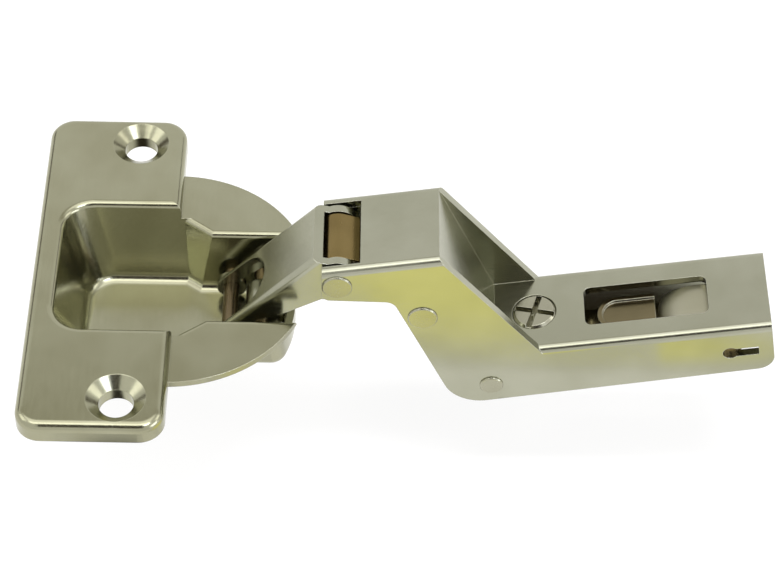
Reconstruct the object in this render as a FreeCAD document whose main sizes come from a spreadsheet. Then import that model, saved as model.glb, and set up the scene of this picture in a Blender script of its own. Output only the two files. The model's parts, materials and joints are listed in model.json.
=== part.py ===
import FreeCAD, Part
import math
import os

import Sketcher

# A full-crank concealed cup hinge for a door that closes inside its cabinet.
# The frame: origin on the cup's axis at the door's face, +X towards the arm, +Z out of the door.
# The arm has a frame of its own: X along the arm from the hump's front, Z up from the base's top.

SIZES = (
    # The cup's flange, rim and body, from the door's face and the cup's axis
    ("flange_set_back", 19.45),
    ("flange_width", 20.1),
    ("flange_height", 3.1),
    ("flange_corner", 3.5),
    ("flange_edge", 1.25),
    ("rim_radius", 19.5),
    ("rim_thickness", 1.0),
    ("rim_reach", 18.0),
    ("cup_wall", 1.1),
    ("cup_radius", 17.4),
    ("cup_depth", 9.7),
    ("shell_round", 1.8),
    ("shell_corner", 2.4),
    ("sill_drop", 4.7),
    ("end_shift", 0.7),
    # The pocket in the cup: wide behind, a slanted neck, then the slot for the links
    ("pocket_set_back", 16.1),
    ("pocket_width", 23.6),
    ("pocket_corner", 4.5),
    ("mouth_lip", 1.0),
    ("slot_lip", 0.9),
    ("pocket_rake", 3.4),
    ("pocket_floor_width", 15.4),
    ("floor_round", 1.6),
    ("neck_start", 1.0),
    ("neck_end", 5.7),
    ("neck_rake", 14.0),
    ("slot_width", 16.8),
    ("slot_floor_width", 12.8),
    # The two door screws
    ("screw_set_back", 6.0),
    ("screw_spacing", 48.0),
    ("screw_bore", 4.8),
    ("sink_diameter", 7.4),
    ("sink_depth", 1.7),
    ("boss_wall", 1.0),
    ("flange_end", 5.2),
    # The four pivots: two pins in the cup, two rivets in the arm
    ("outer_pin_x", 8.0),
    ("outer_pin_drop", 6.2),
    ("inner_pin_x", 12.4),
    ("inner_pin_drop", 5.7),
    ("cup_pin_diameter", 2.2),
    ("cup_pin_length", 15.6),
    ("knuckle_x", 23.42),
    ("knuckle_height", 7.42),
    ("arm_pitch", 10.7),
    ("rivet_diameter", 2.6),
    ("rivet_head_diameter", 4.2),
    ("rivet_head_rise", 0.3),
    ("running_gap", 0.05),
    ("side_gap", 0.4),
    # The outer link, a channel, and the inner link, a bent lever inside it
    ("link_sheet", 1.2),
    ("outer_link_width", 11.0),
    ("outer_ear_radius", 2.1),
    ("outer_eye_radius", 2.9),
    ("outer_web_rise", 4.5),
    ("outer_web_lap", -0.5),
    ("outer_waist", 1.0),
    ("outer_relief_end", 5.9),
    ("outer_relief_rise", 0.35),
    ("outer_cut_reach", 5.3),
    ("outer_fold", 1.0),
    ("inner_link_width", 7.4),
    ("inner_bar", 1.3),
    ("inner_eye_wall", 1.05),
    ("inner_rise_angle", 50.0),
    ("inner_rise_length", 9.2),
    ("open_pivot_play", 1.25),
    # The arm: hump, crank and base folded from one sheet
    ("arm_width", 14.6),
    ("arm_sheet", 1.2),
    ("arm_length", 60.3),
    ("arm_fold", 1.1),
    ("hump_length", 16.34),
    ("crank_height", 20.8),
    ("web_foot", 21.3),
    ("gusset_foot", 27.4),
    ("tail_depth", 8.9),
    ("tail_corner", 2.5),
    ("heel_x", 14.15),
    ("heel_depth", 10.05),
    ("heel_corner", 5.5),
    ("throat_x", 8.75),
    ("throat_drop", 7.35),
    ("throat_corner", 1.8),
    ("snout", 1.0),
    ("snout_drop", 5.3),
    ("snout_corner", 1.2),
    ("knuckle_in", 1.62),
    ("knuckle_down", 2.9),
    ("inner_rivet_in", 12.27),
    ("inner_rivet_down", 11.13),
    ("hook_in", 19.76),
    ("hook_down", 6.52),
    ("hook_diameter", 2.6),
    ("hook_head_diameter", 3.4),
    ("notch_length", 5.35),
    # The band spring wound on the knuckle's rivet
    ("band", 0.4),
    ("band_pitch", 0.45),
    ("band_half_turns", 4.0),
    ("band_bore_gap", 0.1),
    ("band_leg_angle", 28.0),
    ("band_leg_end", 13.0),
    ("band_side_gap", 0.2),
    # The side-adjusting screw in the base
    ("adjuster_x", 27.0),
    ("adjuster_diameter", 6.3),
    ("adjuster_proud", 0.25),
    ("adjuster_length", 6.4),
    ("adjuster_neck_diameter", 3.2),
    ("adjuster_neck_length", 1.5),
    ("adjuster_foot_diameter", 5.2),
    ("adjuster_foot_length", 1.0),
    ("adjuster_chamfer", 0.4),
    ("cross_share", 0.94),
    ("cross_width", 0.8),
    ("cross_turn", -18.0),
    ("cross_depth", 1.5),
    ("collar_wall", 1.0),
    ("collar_depth", 1.5),
    # The clip latch at the tail, seen through the base's window
    ("window_front", 7.2),
    ("window_back", 8.5),
    ("window_width", 7.0),
    ("window_corner", 1.0),
    ("latch_pin_back", 6.1),
    ("latch_pin_down", 4.9),
    ("latch_pin_diameter", 2.2),
    ("latch_pin_recess", 0.7),
    ("keyhole_margin", 2.1),
    ("keyhole_slot", 1.6),
    ("latch_width", 6.0),
    ("latch_sheet", 0.9),
    ("latch_eye_radius", 2.0),
    ("latch_front_in", 3.2),
    ("latch_front_down", 4.6),
    ("latch_curl_radius", 1.5),
    ("latch_plate_lap", 0.4),
    ("tongue_share", 0.57),
    ("latch_curl_in", 1.1),
    ("latch_curl_width", 3.0),
    ("latch_rim", 0.7),
    ("latch_dish", 0.4),
    ("latch_tail_margin", 0.9),
    ("latch_tail_down", 6.6),
    ("leaf", 0.5),
    ("leaf_width", 6.2),
    ("leaf_nose", 2.4),
    ("leaf_clear", 0.5),
    ("leaf_seat", 2.0),
    ("leaf_root_back", 0.8),
    ("leaf_end_down", 3.6),
    ("leaf_gap", 0.25),
)

doc = FreeCAD.newDocument("cranked_hinge")
sheet = doc.addObject("Spreadsheet::Sheet", "Sizes")
for row, (alias, value) in enumerate(SIZES, start=1):
    sheet.set(f"A{row}", alias)
    sheet.set(f"B{row}", str(value))
    sheet.setAlias(f"B{row}", alias)
doc.recompute()

SIZE_WORDS = {alias for alias, value in SIZES}


def bound(text):
    """An expression in which each size's own word stands for its cell."""
    words = []
    word = ""
    for letter in text + " ":
        if letter.isalnum() or letter == "_":
            word += letter
            continue
        words.append(f"Sizes.{word}" if word in SIZE_WORDS else word)
        words.append(letter)
        word = ""
    return "".join(words).strip()


def size(text):
    """The value of an expression in the sizes, in millimetres or degrees."""
    value = sheet.evalExpression(bound(text))
    return float(getattr(value, "Value", value))


def bind(item, prop, text):
    item.setExpression(prop, bound(text))


def new_body(label):
    body = doc.addObject("PartDesign::Body", label)
    body.Label = label
    return body


def new_sketch(body, name, role, shift="0", turn="0"):
    """A sketch on one of the body's own planes, moved along its normal and turned in its plane."""
    plane = next(item for item in body.Origin.OriginFeatures if item.Role == role)
    sketch = body.newObject("Sketcher::SketchObject", name)
    sketch.AttachmentSupport = [(plane, "")]
    sketch.MapMode = "FlatFace"
    bind(sketch, "AttachmentOffset.Base.z", shift)
    sketch.AttachmentOffset = FreeCAD.Placement(FreeCAD.Vector(0, 0, size(shift)), FreeCAD.Rotation(0, 0, 0))
    bind(sketch, "AttachmentOffset.Rotation.Angle", turn)
    return sketch


def pin_point(sketch, curve, spot, across, up):
    """Ties one point of a curve to two expressions, measured from the sketch's origin."""
    for kind, text in (("DistanceX", across), ("DistanceY", up)):
        index = sketch.addConstraint(Sketcher.Constraint(kind, -1, 1, curve, spot, size(text)))
        bind(sketch, f"Constraints[{index}]", text)


def draw_polygon(sketch, corners):
    """A closed outline whose corners are pairs of expressions."""
    spots = [FreeCAD.Vector(size(across), size(up), 0) for across, up in corners]
    first = sketch.GeometryCount
    count = len(spots)
    for i, spot in enumerate(spots):
        sketch.addGeometry(Part.LineSegment(spot, spots[(i + 1) % count]), False)
    for i in range(count):
        sketch.addConstraint(Sketcher.Constraint("Coincident", first + i, 2, first + (i + 1) % count, 1))
    for i, (across, up) in enumerate(corners):
        pin_point(sketch, first + i, 1, across, up)


def draw_circle(sketch, across, up, radius):
    centre = FreeCAD.Vector(size(across), size(up), 0)
    curve = sketch.addGeometry(Part.Circle(centre, FreeCAD.Vector(0, 0, 1), size(radius)), False)
    pin_point(sketch, curve, 3, across, up)
    index = sketch.addConstraint(Sketcher.Constraint("Radius", curve, size(radius)))
    bind(sketch, f"Constraints[{index}]", radius)


def draw_box(sketch, left, right, low, high):
    draw_polygon(sketch, ((left, low), (right, low), (right, high), (left, high)))


def pad(body, sketch, length, both_ways=False, backwards=False):
    return grow(body, sketch, "PartDesign::Pad", length, both_ways, backwards)


def pocket(body, sketch, length, both_ways=False, backwards=False):
    """Cuts a sketch's outline, and stops the build if nothing came away."""
    before = body.Shape.Volume
    cut = grow(body, sketch, "PartDesign::Pocket", length, both_ways, backwards)
    if body.Shape.Volume > before - 1e-6:
        raise RuntimeError(f"{sketch.Label} cuts nothing")
    return cut


def grow(body, sketch, kind, length, both_ways, backwards):
    feature = body.newObject(kind, f"{sketch.Name}_{kind.split('::')[1]}")
    feature.Profile = sketch
    feature.Length = size(length)
    bind(feature, "Length", length)
    feature.SideType = "Symmetric" if both_ways else "One side"
    feature.Reversed = backwards
    body.Tip = feature
    doc.recompute()
    return feature


def dress(body, kind, prop, amount, wanted):
    """Rounds or chamfers those edges of the body that the test wants."""
    base = body.Tip
    names = [f"Edge{i}" for i, edge in enumerate(base.Shape.Edges, start=1) if wanted(edge)]
    if not names:
        raise RuntimeError(f"{body.Label} has no such edge")
    feature = body.newObject(kind, f"{body.Name}_{kind.split('::')[1]}")
    feature.Base = (base, names)
    setattr(feature, prop, size(amount))
    bind(feature, prop, amount)
    body.Tip = feature
    doc.recompute()


def fillet(body, radius, wanted):
    dress(body, "PartDesign::Fillet", "Radius", radius, wanted)


def chamfer(body, amount, wanted):
    dress(body, "PartDesign::Chamfer", "Size", amount, wanted)


def close_to(value, text, slack=1e-3):
    return abs(value - size(text)) < slack


def runs_along(edge, axis):
    """True for a straight edge along one axis, 0 to 2."""
    if not isinstance(edge.Curve, Part.Line):
        return False
    return abs(abs(edge.Curve.Direction[axis]) - 1) < 1e-6


def lies_at(edge, level):
    """True for an edge that keeps to one height."""
    spots = [vertex.Z for vertex in edge.Vertexes] + [edge.CenterOfMass.z]
    return all(close_to(spot, level, 1e-2) for spot in spots)


def corner_edge(across, up):
    """A test for the edge along Y at one corner of a side outline."""
    def wanted(edge):
        spot = edge.CenterOfMass
        return runs_along(edge, 1) and close_to(spot.x, across) and close_to(spot.z, up)
    return wanted


def place(item, across, up, turn="0"):
    """Stands a piece at a point of the XZ plane, turned from +X towards +Z."""
    turned = FreeCAD.Rotation(FreeCAD.Vector(0, -1, 0), size(turn))
    item.Placement = FreeCAD.Placement(FreeCAD.Vector(size(across), 0, size(up)), turned)
    bind(item, "Placement.Base.x", across)
    bind(item, "Placement.Base.z", up)
    if turn != "0":
        bind(item, "Placement.Rotation.Angle", turn)


# Where the arm's frame lies: the knuckle's rivet is at its place in the cup's frame
KNUCKLE_UP = "(crank_height - knuckle_down)"
ARM_X = f"knuckle_x - knuckle_in * cos(arm_pitch) + {KNUCKLE_UP} * sin(arm_pitch)"
ARM_Z = f"knuckle_height - knuckle_in * sin(arm_pitch) - {KNUCKLE_UP} * cos(arm_pitch)"
RIVET_ALONG = "(inner_rivet_in - knuckle_in)"
RIVET_BELOW = "(inner_rivet_down - knuckle_down)"
RIVET_X = f"(knuckle_x + {RIVET_ALONG} * cos(arm_pitch) + {RIVET_BELOW} * sin(arm_pitch))"
RIVET_Z = f"(knuckle_height + {RIVET_ALONG} * sin(arm_pitch) - {RIVET_BELOW} * cos(arm_pitch))"


# What stands near the arm's tail is placed from that end, and the window reaches back to the screw
WINDOW_START = "(adjuster_x + window_front)"
WINDOW_END = "(arm_length - window_back)"
LATCH_X = "(arm_length - latch_pin_back)"
KEYHOLE_END = "(arm_length - keyhole_margin)"
LATCH_FRONT = f"({WINDOW_START} + latch_front_in)"
LATCH_TAIL = "(arm_length - latch_tail_margin)"
TONGUE_END = f"({WINDOW_START} + ({WINDOW_END} - {WINDOW_START}) * tongue_share)"
LEAF_END = f"({TONGUE_END} + leaf_clear)"
LEAF_ROOT = f"({LATCH_X} - leaf_root_back)"


def place_on_arm(item):
    place(item, ARM_X, ARM_Z, "arm_pitch")


def rake(body, angle, level, wanted):
    """Leans those walls of a block that the test wants, about the level where they stay put."""
    base = body.Tip
    walls, hinge = [], None
    for i, face in enumerate(base.Shape.Faces, start=1):
        if close_to(face.CenterOfMass.z, level) and abs(face.normalAt(0, 0).z) > 0.9:
            hinge = f"Face{i}"
        elif wanted(face):
            walls.append(f"Face{i}")
    feature = body.newObject("PartDesign::Draft", f"{body.Name}_rake")
    feature.Base = (base, walls)
    feature.NeutralPlane = (base, [hinge])
    feature.Angle = size(angle)
    bind(feature, "Angle", angle)
    feature.Reversed = True
    body.Tip = feature
    doc.recompute()
    if feature.Shape.isNull() or feature.Shape.Volume > base.Shape.Volume:
        raise RuntimeError(f"{body.Label}: a wall doesn't lean in")


def make_pocket_block(label, top, floor, grown):
    """The pocket's form: wide behind, a slanted neck, then the slot, all narrowing to the floor."""
    body = new_body(label)
    wide, narrow = f"pocket_width / 2 + {grown}", f"slot_width / 2 + {grown}"
    outline = new_sketch(body, f"{label}_mouth", "XY_Plane", shift=top)
    near = (
        (f"-(pocket_set_back + {grown})", wide), ("neck_start", wide),
        ("neck_end", narrow), ("rim_radius", narrow))
    far = tuple((across, f"-({up})") for across, up in reversed(near))
    draw_polygon(outline, near + far)
    height = f"({top} + {floor})"
    pad(body, outline, height, backwards=True)

    def faces_back(face):
        return face.normalAt(0, 0).x < -0.9

    def faces_aside(face):
        return abs(face.normalAt(0, 0).y) > 0.9 and close_to(abs(face.CenterOfMass.y), wide, 0.1)

    def faces_slot(face):
        return abs(face.normalAt(0, 0).y) > 0.9 and face.CenterOfMass.x > size("neck_end")

    def faces_neck(face):
        return 0.2 < face.normalAt(0, 0).x < 0.9
    rake(body, f"atan(pocket_rake / {height})", top, faces_back)
    rake(body, f"atan((slot_width - slot_floor_width) / 2 / {height})", top, faces_slot)
    rake(body, f"atan((pocket_width - pocket_floor_width) / 2 / {height})", top, faces_aside)
    rake(body, "neck_rake", top, faces_neck)
    fillet(body, f"pocket_corner + {grown}", lambda edge: upright(edge) and
           edge.CenterOfMass.x < size("-neck_end"))
    return body


def trim_to_circle(body, name, radius, across="0"):
    """Cuts away what lies below the door's face and outside a circle."""
    ring = new_sketch(body, name, "XY_Plane")
    draw_circle(ring, across, "0", radius)
    draw_circle(ring, across, "0", "rim_radius * 2")
    pocket(body, ring, "cup_depth * 2")


def upright(edge):
    """True for a corner edge that climbs from the floor to the mouth."""
    return edge.BoundBox.ZLength > size("cup_depth / 2")


def make_cavity():
    """The room inside the cup, with the sill over which the inner link leaves it."""
    body = make_pocket_block("cup_cavity", "flange_height", "cup_depth - cup_wall", "0")
    trim_to_circle(body, "cavity_end", "cup_radius - cup_wall + end_shift", "-end_shift")
    fillet(body, "floor_round", lambda edge: lies_at(edge, "cup_wall - cup_depth"))
    sill = new_sketch(body, "sill_outline", "XY_Plane", shift="-sill_drop")
    sill_half = "(slot_width + slot_floor_width) / 4"
    draw_box(sill, "inner_pin_x", "rim_radius", f"-{sill_half}", sill_half)
    pad(body, sill, "sill_drop + flange_height")
    return body


def make_shell():
    """The pocket's outside, held within the drilling in the door."""
    body = make_pocket_block("cup_shell", "rim_thickness", "cup_depth", "cup_wall")
    trim_to_circle(body, "shell_end", "cup_radius")
    reach = new_sketch(body, "shell_reach", "XY_Plane")
    meeting = "sqrt(rim_radius ^ 2 - (slot_width / 2 + cup_wall) ^ 2)"
    draw_box(reach, meeting, "rim_radius + cup_wall", "-rim_radius", "rim_radius")
    pocket(body, reach, "rim_thickness", backwards=True)
    fillet(body, "shell_corner", lambda edge: edge.BoundBox.ZMin < -size("cup_depth / 2") and
           edge.BoundBox.ZMax > -size("cup_wall") and edge.CenterOfMass.x > size("outer_pin_x"))
    fillet(body, "shell_round", lambda edge: lies_at(edge, "-cup_depth"))
    return body


def make_cup():
    """The pressed cup: a pan-shaped flange, a half-moon rim and the deep pocket for the links."""
    body = new_body("cup_pressing")
    back = "-flange_set_back"
    front = "flange_width - flange_set_back"
    half = "(screw_spacing / 2 + flange_end)"
    outline = new_sketch(body, "flange_outline", "XY_Plane")
    draw_box(outline, back, front, f"-{half}", half)
    pad(body, outline, "flange_height")
    fillet(body, "flange_corner", lambda edge: runs_along(edge, 2))
    rim = new_sketch(body, "rim_outline", "XY_Plane")
    draw_circle(rim, "0", "0", "rim_radius")
    pad(body, rim, "rim_thickness")
    trim = new_sketch(body, "rim_trim", "XY_Plane")
    draw_box(trim, "rim_reach", "rim_reach + rim_radius", "-rim_radius", "rim_radius")
    pocket(body, trim, "rim_thickness", backwards=True)
    hollow = new_sketch(body, "flange_hollow", "XY_Plane")
    inset_half = f"{half} - cup_wall"
    draw_box(hollow, f"{back} + cup_wall", f"{front} - cup_wall", f"-({inset_half})", inset_half)
    pocket(body, hollow, "flange_height - cup_wall", backwards=True)
    collar = new_sketch(body, "pocket_collar", "XY_Plane")
    collar_half = "pocket_width / 2 + cup_wall"
    draw_box(collar, "-(pocket_set_back + cup_wall)", f"{front} - cup_wall / 2",
             f"-({collar_half})", collar_half)
    pad(body, collar, "flange_height - cup_wall / 2")

    bosses = new_sketch(body, "screw_bosses", "XY_Plane")
    bores = new_sketch(body, "screw_bores", "XY_Plane")
    for side in ("-", ""):
        draw_circle(bosses, "-screw_set_back", f"{side}screw_spacing / 2", "sink_diameter / 2 + boss_wall")
        draw_circle(bores, "-screw_set_back", f"{side}screw_spacing / 2", "screw_bore / 2")
    pad(body, bosses, "flange_height - cup_wall / 2")
    pocket(body, bores, "flange_height", backwards=True)
    dress_sink(body, lambda edge: lies_at(edge, "flange_height") and
               close_to(edge.BoundBox.XLength, "screw_bore", 0.01))
    solid = doc.addObject("Part::Fuse", "cup_solid")
    solid.Base = body
    solid.Tool = make_shell()
    cup = doc.addObject("Part::Cut", "cup_opened")
    cup.Base = solid
    cup.Tool = make_cavity()
    bores = new_body("cup_pin_bores")
    outline = new_sketch(bores, "cup_bore_outline", "XZ_Plane")
    draw_circle(outline, "outer_pin_x", "-outer_pin_drop", "cup_pin_diameter / 2")
    draw_circle(outline, "inner_pin_x", "-inner_pin_drop", "cup_pin_diameter / 2")
    pad(bores, outline, "cup_pin_length", both_ways=True)
    bored = doc.addObject("Part::Cut", "cup_bored")
    bored.Base = cup
    bored.Tool = bores
    doc.recompute()
    return round_lip(bored)


def dress_sink(body, wanted):
    """The dished seat for a countersunk screw head."""
    base = body.Tip
    names = [f"Edge{i}" for i, edge in enumerate(base.Shape.Edges, start=1) if wanted(edge)]
    sink = body.newObject("PartDesign::Chamfer", "screw_sinks")
    sink.Base = (base, names)
    sink.ChamferType = "Two distances"
    for prop, text in (("Size", "sink_depth"), ("Size2", "(sink_diameter - screw_bore) / 2")):
        setattr(sink, prop, size(text))
        bind(sink, prop, text)
    body.Tip = sink
    doc.recompute()


def round_lip(cup):
    """Rolls the flange over at its outside and at the pocket's mouth, and the rim along the neck and the slot."""
    reach = size("sink_diameter / 2") + 1e-2
    seats = [FreeCAD.Vector(-size("screw_set_back"), side * size("screw_spacing / 2"), size("flange_height"))
             for side in (-1, 1)]
    wanted = []
    for i, edge in enumerate(cup.Shape.Edges, start=1):
        spot = edge.CenterOfMass
        if lies_at(edge, "flange_height") and all(spot.distanceToPoint(seat) > reach for seat in seats):
            inside = abs(spot.y) < size("pocket_width / 2 + mouth_lip") and spot.x > -size("pocket_set_back + mouth_lip")
            radius = size("mouth_lip" if inside else "flange_edge")
            wanted.append((i, radius, radius))
        elif lies_at(edge, "rim_thickness") and isinstance(edge.Curve, Part.Line) and spot.x > size("neck_start"):
            if not runs_along(edge, 1):
                wanted.append((i, size("slot_lip"), size("slot_lip")))
    lip = doc.addObject("Part::Fillet", "hinge_cup")
    lip.Label = "hinge_cup"
    lip.Base = cup
    lip.Edges = wanted
    doc.recompute()
    return lip


def make_cup_pin(label, across, drop):
    """A plain pin across the cup, pressed into its two side walls."""
    body = new_body(label)
    outline = new_sketch(body, f"{label}_outline", "XZ_Plane")
    draw_circle(outline, "0", "0", "cup_pin_diameter / 2")
    pad(body, outline, "cup_pin_length", both_ways=True)
    place(body, across, f"-{drop}")
    return body


def make_rivet(label, diameter, head_diameter, across, up):
    """A shank across the arm with a low head on each wall."""
    body = new_body(label)
    shank = new_sketch(body, f"{label}_shank", "XZ_Plane")
    draw_circle(shank, across, up, f"{diameter} / 2")
    pad(body, shank, "arm_width", both_ways=True)
    for side in ("", "-"):
        head = new_sketch(body, f"{label}_head", "XZ_Plane", shift=f"{side}arm_width / 2")
        draw_circle(head, across, up, f"{head_diameter} / 2")
        pad(body, head, "rivet_head_rise", backwards=side == "-")
    outer = size("arm_width / 2 + rivet_head_rise") - 1e-3
    chamfer(body, "rivet_head_rise / 2", lambda edge: abs(edge.CenterOfMass.y) > outer)
    place_on_arm(body)
    return body


def make_latch_pin():
    body = new_body("latch_pin")
    outline = new_sketch(body, "latch_pin_outline", "XZ_Plane")
    draw_circle(outline, LATCH_X, "-latch_pin_down", "latch_pin_diameter / 2")
    pad(body, outline, "arm_width - 2 * latch_pin_recess", both_ways=True)
    place_on_arm(body)
    return body


# The outer link lies along its own X, from its pin in the cup to the rivet in the arm's knuckle
LINK_ALONG = "(knuckle_x - outer_pin_x)"
LINK_UP = "(knuckle_height + outer_pin_drop)"
LINK_LENGTH = f"sqrt({LINK_ALONG} ^ 2 + {LINK_UP} ^ 2)"
WEB_SLOPE = f"((outer_web_rise - outer_ear_radius) / ({LINK_LENGTH} + outer_web_lap))"
WEB_SKIN = f"(link_sheet * sqrt(1 + {WEB_SLOPE} ^ 2))"


def make_outer_link():
    """A folded channel: two cheeks and a web, cut back to leave two ears at the cup's pin."""
    body = new_body("outer_link")
    tip = f"{LINK_LENGTH} + outer_web_lap"
    cheek = new_sketch(body, "cheek_outline", "XZ_Plane")
    draw_polygon(cheek, (
        ("0", "outer_ear_radius"), (tip, "outer_web_rise"),
        (f"{LINK_LENGTH} + outer_eye_radius", "0"), (LINK_LENGTH, "-outer_eye_radius"),
        (f"{LINK_LENGTH} / 2", "-outer_waist"), ("outer_relief_end", "outer_relief_rise"),
        ("0", "outer_relief_rise")))
    pad(body, cheek, "outer_link_width", both_ways=True)
    ear = new_sketch(body, "ear_outline", "XZ_Plane")
    draw_circle(ear, "0", "0", "outer_ear_radius")
    pad(body, ear, "outer_link_width", both_ways=True)
    eye = new_sketch(body, "eye_outline", "XZ_Plane")
    draw_circle(eye, LINK_LENGTH, "0", "outer_eye_radius")
    pad(body, eye, "outer_link_width", both_ways=True)
    side = size("outer_link_width / 2") - 1e-3
    fillet(body, "outer_fold", lambda edge: edge.CenterOfMass.z > size("outer_ear_radius") and
           abs(edge.CenterOfMass.y) > side and edge.Length > size("outer_link_width"))

    channel = new_sketch(body, "channel_outline", "XZ_Plane")
    near, far = "-outer_link_width", f"({LINK_LENGTH} + outer_link_width)"
    draw_polygon(channel, (
        (near, f"outer_ear_radius + {near} * {WEB_SLOPE} - {WEB_SKIN}"),
        (far, f"outer_ear_radius + {far} * {WEB_SLOPE} - {WEB_SKIN}"),
        (far, "-outer_link_width"), (near, "-outer_link_width")))
    pocket(body, channel, "outer_link_width - 2 * link_sheet", both_ways=True)
    bite = new_sketch(body, "bite_outline", "XY_Plane", shift="outer_link_width")
    draw_circle(bite, "outer_cut_reach", "0", "outer_link_width / 2 - link_sheet")
    pocket(body, bite, "outer_link_width")
    gap = new_sketch(body, "gap_outline", "XY_Plane", shift="outer_link_width")
    inside = "outer_link_width / 2 - link_sheet"
    draw_box(gap, near, "outer_cut_reach", f"-({inside})", inside)
    pocket(body, gap, "outer_link_width")
    for name, across, diameter in (("ear_bore", "0", "cup_pin_diameter"),
                                   ("eye_bore", LINK_LENGTH, "rivet_diameter")):
        bore = new_sketch(body, name, "XZ_Plane")
        draw_circle(bore, across, "0", f"{diameter} / 2 + running_gap")
        pocket(body, bore, "outer_link_width", both_ways=True)
    place(body, "outer_pin_x", "-outer_pin_drop", f"atan2({LINK_UP}; {LINK_ALONG})")
    return body


# The inner link climbs from its pin in the cup to a knee, then runs to the lower rivet
KNEE_X = "(inner_rise_length * cos(inner_rise_angle))"
KNEE_Z = "(inner_rise_length * sin(inner_rise_angle))"
FAR_X = f"({RIVET_X} - inner_pin_x)"
FAR_Z = f"({RIVET_Z} + inner_pin_drop)"
RUN_TURN = f"atan2({FAR_Z} - {KNEE_Z}; {FAR_X} - {KNEE_X})"


def make_inner_link():
    """A bent lever with an eye at each end, the far one wide enough for the linkage's play."""
    body = new_body("inner_link")
    eye = "cup_pin_diameter / 2 + running_gap + inner_eye_wall"
    far_bore = "rivet_diameter / 2 + open_pivot_play"
    pin_eye = new_sketch(body, "pin_eye_outline", "XZ_Plane")
    draw_circle(pin_eye, "0", "0", eye)
    pad(body, pin_eye, "inner_link_width", both_ways=True)
    rise = new_sketch(body, "rise_outline", "XZ_Plane", turn="inner_rise_angle")
    draw_box(rise, "0", "inner_rise_length", "-inner_bar / 2", "inner_bar / 2")
    pad(body, rise, "inner_link_width", both_ways=True)
    knee = new_sketch(body, "knee_outline", "XZ_Plane")
    draw_circle(knee, KNEE_X, KNEE_Z, "inner_bar / 2")
    pad(body, knee, "inner_link_width", both_ways=True)
    run = new_sketch(body, "run_outline", "XZ_Plane", turn=RUN_TURN)
    start = f"({KNEE_X} * cos({RUN_TURN}) + {KNEE_Z} * sin({RUN_TURN}))"
    stop = f"({FAR_X} * cos({RUN_TURN}) + {FAR_Z} * sin({RUN_TURN}))"
    level = f"({KNEE_Z} * cos({RUN_TURN}) - {KNEE_X} * sin({RUN_TURN}))"
    draw_box(run, start, stop, f"{level} - inner_bar / 2", f"{level} + inner_bar / 2")
    pad(body, run, "inner_link_width", both_ways=True)
    rivet_eye = new_sketch(body, "rivet_eye_outline", "XZ_Plane")
    draw_circle(rivet_eye, FAR_X, FAR_Z, f"{far_bore} + inner_eye_wall")
    pad(body, rivet_eye, "inner_link_width", both_ways=True)
    for name, across, up, radius in (("pin_bore", "0", "0", "cup_pin_diameter / 2 + running_gap"),
                                     ("rivet_bore", FAR_X, FAR_Z, far_bore)):
        bore = new_sketch(body, name, "XZ_Plane")
        draw_circle(bore, across, up, radius)
        pocket(body, bore, "inner_link_width", both_ways=True)
    place(body, "inner_pin_x", "-inner_pin_drop")
    return body


# The crank's web leans back from the hump's end to the base
WEB_LEAN = "((web_foot - hump_length) / crank_height)"
WEB_THROUGH = f"(arm_sheet * sqrt(1 + {WEB_LEAN} ^ 2))"


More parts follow.
